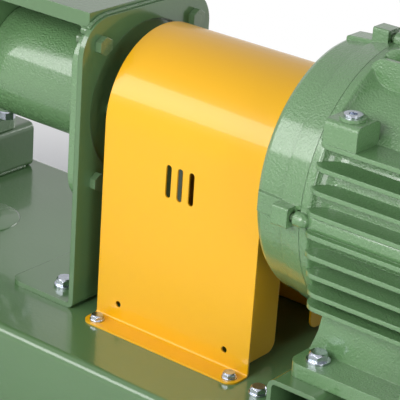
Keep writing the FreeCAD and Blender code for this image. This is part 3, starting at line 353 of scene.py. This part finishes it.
thread = Recipe("thread", radius=0.0056, pitch=0.00175, turns=4, rotation=(0.0, 0.0, 0.0))
crest = thread.add("GeometryNodeCurvePrimitiveCircle", {
    "Resolution": 14, "Radius": thread.size("radius")}, mode="RADIUS")
ridge = thread.add("GeometryNodeCurvePrimitiveCircle", {
    "Resolution": 4, "Radius": thread.size("pitch") * 0.42}, mode="RADIUS")
coil = thread.add("GeometryNodeCurveToMesh", {0: crest, 1: ridge})
climb = thread.add("ShaderNodeCombineXYZ", {2: thread.size("pitch")})
levels = thread.add("GeometryNodeMeshLine", {
    "Count": thread.size("turns"), "Offset": climb}, mode="OFFSET")
stack = thread.add("GeometryNodeInstanceOnPoints", {"Points": levels, "Instance": coil})
thread.end(thread.add("GeometryNodeInstanceOnPoints", {
    "Points": thread.size("Geometry"), "Instance": stack, "Rotation": thread.size("rotation")}))

shaft_height = 0.32
nut_face = -0.1282
bolt_half = 0.076
flange_bolt_ends = [(nut_face, y, shaft_height + z)
                    for y in (-bolt_half, bolt_half) for z in (-bolt_half, bolt_half)]
thread.make("flange_bolt_threads", "machine", "machine_green", fixing_green, flange_bolt_ends,
            turns=3, rotation=(0.0, -math.pi / 2, 0.0))

# Oil plugs and sight glass
# Zinc plated plugs and a plated rim round a disc of clear glass, screwed into the housing.

fine_edge = 0.0006


def plated(name, light, dark, rough, grain=0.00003):
    """Bright metal with faint clouds and a very fine grain."""
    metal = Finish(name, metallic=1.0)
    metal.give("Base Color", metal.blend(metal.noise(160, 3), light, dark))
    metal.give("Roughness", rough + metal.noise(400, 3) * 0.15)
    metal.skin = metal.noise(900) * grain
    metal.give("Normal", metal.relief(metal.skin, fine_edge))
    return metal


bright_zinc = plated("bright_zinc", tone(206, 211, 220), tone(164, 170, 182), rough=0.16)
dress(bright_zinc, "oil_plugs", "sight_glass_rim")

glass = Finish("sight_glass", transmission_weight=1.0, ior=1.45)
glass.give("Base Color", glass.blend(glass.noise(60), tone(214, 226, 210), tone(180, 190, 150)))
glass.give("Roughness", 0.02 + glass.noise(80) * 0.06)
dress(glass, "sight_glass_disc")

# Pump shaft, its keys and bearings
# Steel bar turned in a lathe, with the tool's fine grooves round it and rings on its end faces;
# the bearing rings and balls are ground and polished.


def turned(name, light, dark, rough, groove):
    """Metal with lathe grooves round the shaft's axis."""
    metal = plated(name, light, dark, rough)
    outward = metal.distance((0, 1, 1), (0, 0, -shaft_height))
    path = metal.add("ShaderNodeCombineXYZ", {0: metal.axis(0), 1: outward})
    lines = metal.add("ShaderNodeTexNoise", {"Vector": path, "Scale": 1400, "Detail": 1.0})
    metal.give("Roughness", rough + lines * 0.18)
    metal.give("Normal", metal.relief(metal.skin + lines * groove, fine_edge))
    return metal


turned_steel = turned("turned_steel", tone(190, 190, 192), tone(160, 160, 164), rough=0.2, groove=0.00006)
ground_steel = plated("ground_steel", tone(206, 207, 210), tone(190, 191, 194), rough=0.06, grain=0.000004)
dress(turned_steel, "pump_shaft", "pump_shaft_keys")
dress(ground_steel, "pump_bearing_outer_rings", "pump_bearing_inner_rings", "pump_bearing_balls")


def moulded(name, colour, shade, rough, grain=0.00005):
    """Rubber, plastic or fibre pressed in a tool, with a fine matt grain."""
    plastic = Finish(name)
    plastic.give("Base Color", plastic.blend(plastic.noise(40, 3), colour, shade))
    plastic.give("Roughness", rough + plastic.noise(200, 3) * 0.2)
    plastic.give("Normal", plastic.relief(plastic.noise(1200) * grain, fine_edge))
    return plastic


black_rubber = moulded("black_rubber", tone(34, 34, 36), tone(22, 22, 24), rough=0.5)
dress(black_rubber, "lip_seals")

# Pump casing, gasket and casing bolts
# Iron casting in the paint of the base. Both flange faces are left bare and carry the fine rings
# that the facing tool cut for the gasket.

casing_green = enamel("casing_green", *cast_tones, **cast_skin)
suction_plane = -0.5597
discharge_plane = 0.5197
discharge_middle = -0.46
ring_pitch = 0.0009
ring_depth = 0.0001
facing = ((casing_green.axis(0) < suction_plane, (0, 1, 1), (0, 0, -shaft_height)),
          (casing_green.axis(2) > discharge_plane, (1, 1, 0), (-discharge_middle, 0, 0)))
for faced, spread, middle in facing:
    rings = casing_green.waves(casing_green.distance(spread, middle), ring_pitch)
    casing_green.overlay(faced, "Base Color", tone(148, 148, 146))
    casing_green.overlay(faced, "Metallic", 1.0)
    casing_green.overlay(faced, "Roughness", 0.34)
    casing_green.overlay(faced, "Coat Weight", 0.0)
    casing_green.skin = casing_green.skin * (1 - faced) + rings * faced * ring_depth
casing_green.give("Normal", casing_green.relief(casing_green.skin, cast_skin["edge"]))
dress(casing_green, "volute_casing")

fibre = moulded("gasket_fibre", tone(74, 82, 84), tone(56, 62, 64), rough=0.6, grain=0.0001)
dress(fibre, "casing_gasket")
dress(bright_zinc, "casing_bolts")

# Impeller, its nut and the wear ring
# Bronze: the vanes as cast, the hub and rings turned bright.

impeller_bronze = turned("impeller_bronze", tone(190, 150, 96), tone(156, 116, 70), rough=0.3, groove=0.00004)
dress(impeller_bronze, "impeller", "impeller_nut", "wear_ring")

# Shaft seal
# Turned steel gland and rotating head against a seat of black carbon, held by two cap screws.

seal_carbon = moulded("seal_carbon", tone(40, 40, 44), tone(26, 26, 30), rough=0.32, grain=0.00001)
dress(turned_steel, "seal_gland", "seal_rotor")
dress(seal_carbon, "seal_seat")
dress(bright_zinc, "seal_gland_screws")

# Coupling
# Two jawed hubs of bare turned iron with a moulded rubber spider between them.

hub_iron = turned("hub_iron", tone(96, 96, 98), tone(66, 66, 70), rough=0.36, groove=0.00008)
dress(hub_iron, "pump_hub", "motor_hub")
spider_elastomer = moulded("spider_elastomer", tone(190, 40, 30), tone(160, 30, 24), rough=0.4)
dress(spider_elastomer, "coupling_spider")

# Coupling guard
# One bent sheet of steel with slotted end plates, powder coated in signal yellow and cured to a
# smooth gloss.

guard_yellow = enamel("guard_yellow", tone(235, 177, 18), tone(229, 170, 14),
                      rough=0.32, edge=0.0008, peel=0.00003, coat=0.35, gloss=0.35)
dress(guard_yellow, "coupling_guard", "guard_end_plates")
dress(bright_zinc, "guard_fixings")

# Motor frame and end shields
# Iron castings with cooling fins under a semi-gloss enamel that is a little lighter than the
# base; their bolts are painted in place and their lifting holes are plugged.

motor_green = enamel("motor_green", tone(101, 139, 93), tone(89, 127, 82),
                     rough=0.28, edge=0.002, peel=0.0003, coat=0.9, sand=0.0011)
dress(motor_green, "motor_frame", "drive_end_shield", "fan_end_shield")
dress(fixing_green, "shield_bolts")
dress(bright_zinc, "frame_plugs", "lifting_eye")

# Stator and rotor
# Stacks of thin steel sheets, and coils of varnished copper wire tied at both ends.

sheet_pitch = 0.0012
sheet_depth = 0.0001
sheet_edge = 0.0004
laminated = turned("laminated_steel", tone(120, 122, 128), tone(84, 86, 92), rough=0.34, groove=0.00004)
sheets = laminated.waves(laminated.axis(0), sheet_pitch)
laminated.give("Normal", laminated.relief(laminated.skin + sheets * sheet_depth, sheet_edge))
dress(laminated, "stator_core", "rotor_core")

wire_depth = 0.0008
wire_edge = 0.001
copper = Finish("winding_copper", metallic=0.85, coat_weight=0.6, coat_roughness=0.2)
strands = copper.noise(260, stretch=(1, 3, 3))
copper.give("Base Color", copper.blend(strands, tone(186, 104, 56), tone(118, 56, 28)))
copper.give("Roughness", 0.25 + strands * 0.2)
copper.give("Normal", copper.relief(strands * wire_depth, wire_edge))
dress(copper, "stator_windings")

# Motor shaft and bearings
# Turned steel shaft with its key, on ground and polished ball bearings.

dress(turned_steel, "motor_shaft", "motor_hub_key")
dress(ground_steel, "motor_bearing_outer_rings", "motor_bearing_inner_rings", "motor_bearing_balls")

# Fan and cowl
# Moulded plastic fan on the shaft under a pressed steel cup, painted with the motor; the sheet
# has a smoother skin than the castings.

plastic_tones = (tone(70, 74, 74), tone(54, 58, 58))
grey_plastic = moulded("grey_plastic", *plastic_tones, rough=0.4)
cowl_green = enamel("cowl_green", tone(104, 136, 98), tone(95, 127, 90),
                    rough=0.26, edge=0.0012, peel=0.00014, coat=0.7)
dress(grey_plastic, "cooling_fan")
dress(cowl_green, "fan_cowl")

# Terminal box
# Cast box and lid in the motor's paint, with plated cap screws, a plastic terminal block with
# brass studs, and two moulded cable glands with gripping ribs.

dress(motor_green, "terminal_box", "terminal_box_lid")
dress(bright_zinc, "terminal_box_screws")

stud_height = 0.0139
block_plastic = moulded("block_plastic", tone(60, 50, 44), tone(46, 38, 34), rough=0.45)
stud_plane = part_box("terminal_block")[1][2] - stud_height
stud_part = block_plastic.axis(2) > stud_plane
block_plastic.overlay(stud_part, "Base Color", tone(196, 160, 84))
block_plastic.overlay(stud_part, "Metallic", 1.0)
block_plastic.overlay(stud_part, "Roughness", 0.25)
dress(block_plastic, "terminal_block")

gland_plastic = moulded("gland_plastic", *plastic_tones, rough=0.4)
dress(gland_plastic, "cable_glands")
gland_ribs = Recipe("gland_ribs", count=22, radius=0.0129, length=0.011, thickness=0.0009)
circle = gland_ribs.add("GeometryNodeMeshCircle", {
    "Vertices": gland_ribs.size("count"), "Radius": gland_ribs.size("radius")})
rib_bar = gland_ribs.add("GeometryNodeMeshCylinder", {
    "Vertices": 6, "Radius": gland_ribs.size("thickness"), "Depth": gland_ribs.size("length")})
collar = gland_ribs.add("GeometryNodeInstanceOnPoints", {"Points": circle, "Instance": rib_bar})
level_collar = gland_ribs.add("GeometryNodeTransform", {
    "Geometry": collar, "Rotation": (math.pi / 2, 0.0, 0.0)})
gland_ribs.end(gland_ribs.add("GeometryNodeInstanceOnPoints", {
    "Points": gland_ribs.size("Geometry"), "Instance": level_collar}))
gland_places = (0.286, 0.334)
nut_depth = 0.0072
gland_low, gland_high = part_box("cable_glands")
gland_z = (gland_low[2] + gland_high[2]) / 2
gland_points = [(x, gland_high[1] - nut_depth, gland_z) for x in gland_places]
gland_ribs.make("gland_grips", "machine", "grey_plastic", gland_plastic, gland_points)

# Bolts of the feet, tubes and earth point
# Zinc plated hexagon bolts on plain washers; inside the tubes the threads stand out of the nuts.

dress(bright_zinc, "foot_bolts", "foot_washers", "foot_nuts", "earth_bolt")
nut_z = 0.1418
bolt_rows = (((0.233, 0.443), 0.127), ((-0.482, -0.438), 0.124))
tube_bolt_ends = [(x, side * half, nut_z) for places, half in bolt_rows for x in places for side in (-1, 1)]
thread.make("tube_bolt_threads", "machine", "bright_zinc", bright_zinc, tube_bolt_ends, turns=3)

# Floor
# Plain pale studio floor that fades to white away from the object and keeps its shadow.

floor_size = 30.0
bpy.ops.mesh.primitive_plane_add(size=floor_size)
floor = bpy.context.object
floor.name = "floor"
ground = Finish("floor_white", roughness=0.7)
ground.give("Base Color", ground.blend(ground.noise(2), tone(240, 240, 244), tone(236, 236, 240)))


def seen_directly(nodes, mirrors=1.0):
    """1 for camera rays, a share for mirror and glass rays, 0 for rays that light the object."""
    kinds = ("Is Camera Ray", "Is Glossy Ray", "Is Transmission Ray")
    camera_ray, mirror_ray, glass_ray = [nodes.add("ShaderNodeLightPath", {}, kind) for kind in kinds]
    return nodes.add("ShaderNodeClamp", {0: camera_ray + (mirror_ray + glass_ray) * mirrors})


fade_start = 0.5
fade_width = 0.45
reach = ground.distance((0.7, 1, 1))
far = ground.add("ShaderNodeClamp", {0: (reach - fade_start) * (1 / fade_width)})
painted_floor = Amount(ground, ground.shader.outputs["BSDF"])
glow = ground.add("ShaderNodeEmission", {})
faded = ground.add("ShaderNodeMixShader", {0: far * seen_directly(ground), 1: painted_floor, 2: glow})
ground.feed(ground.tree.nodes["Material Output"].inputs["Surface"], faded)
floor.data.materials.append(ground.material)

# Light
# Four softboxes stand high on the pump's side, low in front, at the motor's end and behind. The
# white room lights the object only dimly, but the camera and mirrors see it bright.


def softbox(name, place, target, width, height, watts):
    lamp = bpy.data.lights.new(name, "AREA")
    lamp.shape = "RECTANGLE"
    lamp.size = width
    lamp.size_y = height
    lamp.energy = watts
    box = bpy.data.objects.new(name, lamp)
    bpy.context.scene.collection.objects.link(box)
    aim = Vector(target) - Vector(place)
    box.visible_camera = False
    box.matrix_world = Matrix.Translation(place) @ aim.to_track_quat("-Z", "Y").to_matrix().to_4x4()


softbox("softbox_left", (-1.10, -1.33, 1.10), (0, 0, 0.32), width=0.75, height=0.75, watts=10)
softbox("softbox_front", (0.0, -1.3, 0.95), (0, 0, 0.4), width=0.9, height=0.6, watts=15)
softbox("softbox_right", (2.0, -0.95, 0.6), (0, 0, 0.3), width=0.9, height=0.9, watts=14)
softbox("softbox_back", (0.4, 1.9, 0.8), (0, 0, 0.3), width=1.2, height=0.9, watts=20)

shade_level = 0.2
mirror_level = 0.75
world = bpy.data.worlds.new("room")
bpy.context.scene.world = world
world.use_nodes = True
room = Nodes(world.node_tree)
dim = room.tree.nodes["Background"]
room.feed(dim.inputs["Color"], (0.95, 0.97, 1))
room.feed(dim.inputs["Strength"], shade_level)
bright = room.add("ShaderNodeBackground", {"Color": (1, 1, 1)})
chosen = room.add("ShaderNodeMixShader", {
    0: seen_directly(room, mirror_level), 1: Amount(room, dim.outputs["Background"]), 2: bright})
room.feed(room.tree.nodes["World Output"].inputs["Surface"], chosen)

# Camera
# Long lens from the motor's side, above and in front, rolled a little as in the photograph.

camera_place = Vector((1.07174, -1.42899, 0.98278))
heading = math.radians(37.353)
tilt = math.radians(22.822)
roll = math.radians(4.012)
lens = 163.38

sight = Vector((-math.sin(heading) * math.cos(tilt), math.cos(heading) * math.cos(tilt), -math.sin(tilt)))
level = Vector((math.cos(heading), math.sin(heading), 0))
upright = level.cross(sight)
side = math.cos(roll) * level + math.sin(roll) * upright
top = math.cos(roll) * upright - math.sin(roll) * level
camera_data = bpy.data.cameras.new("camera")
camera_data.lens = lens
camera_data.sensor_width = 36
camera_data.clip_end = 100
camera = bpy.data.objects.new("camera", camera_data)
bpy.context.scene.collection.objects.link(camera)
turned_to = Matrix((side, top, -sight)).transposed().to_4x4()
camera.matrix_world = Matrix.Translation(camera_place) @ turned_to
bpy.context.scene.camera = camera
bpy.context.scene.view_settings.view_transform = "Standard"
